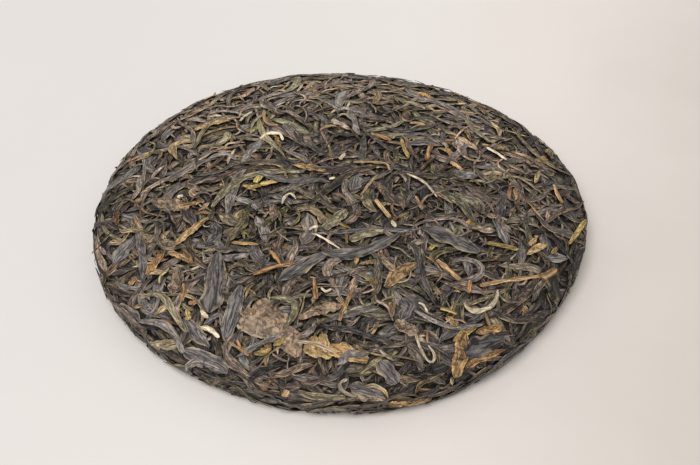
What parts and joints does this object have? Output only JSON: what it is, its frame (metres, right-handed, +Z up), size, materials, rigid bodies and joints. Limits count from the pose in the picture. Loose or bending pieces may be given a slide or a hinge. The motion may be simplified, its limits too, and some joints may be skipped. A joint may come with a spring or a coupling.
{
  "type": "pressed tea cake",
  "caption": "Round low-domed cake of whole dried tea leaves pressed together, with a flat foot and a pit left by the pressing bag in the middle of its underside.",
  "frame": {"origin": "centre of the flat foot, on the surface that the cake lies on", "axes": "+Z up through the domed face, -Y towards the picture's viewer"},
  "size_m": [0.2, 0.2, 0.025],
  "materials": {
    "pressed_leaf": "matt dried leaf with a slight sheen on the dark twists"
  },
  "bodies": {
    "root": {"tea_cake": "pressed_leaf"}
  },
  "joints": []
}
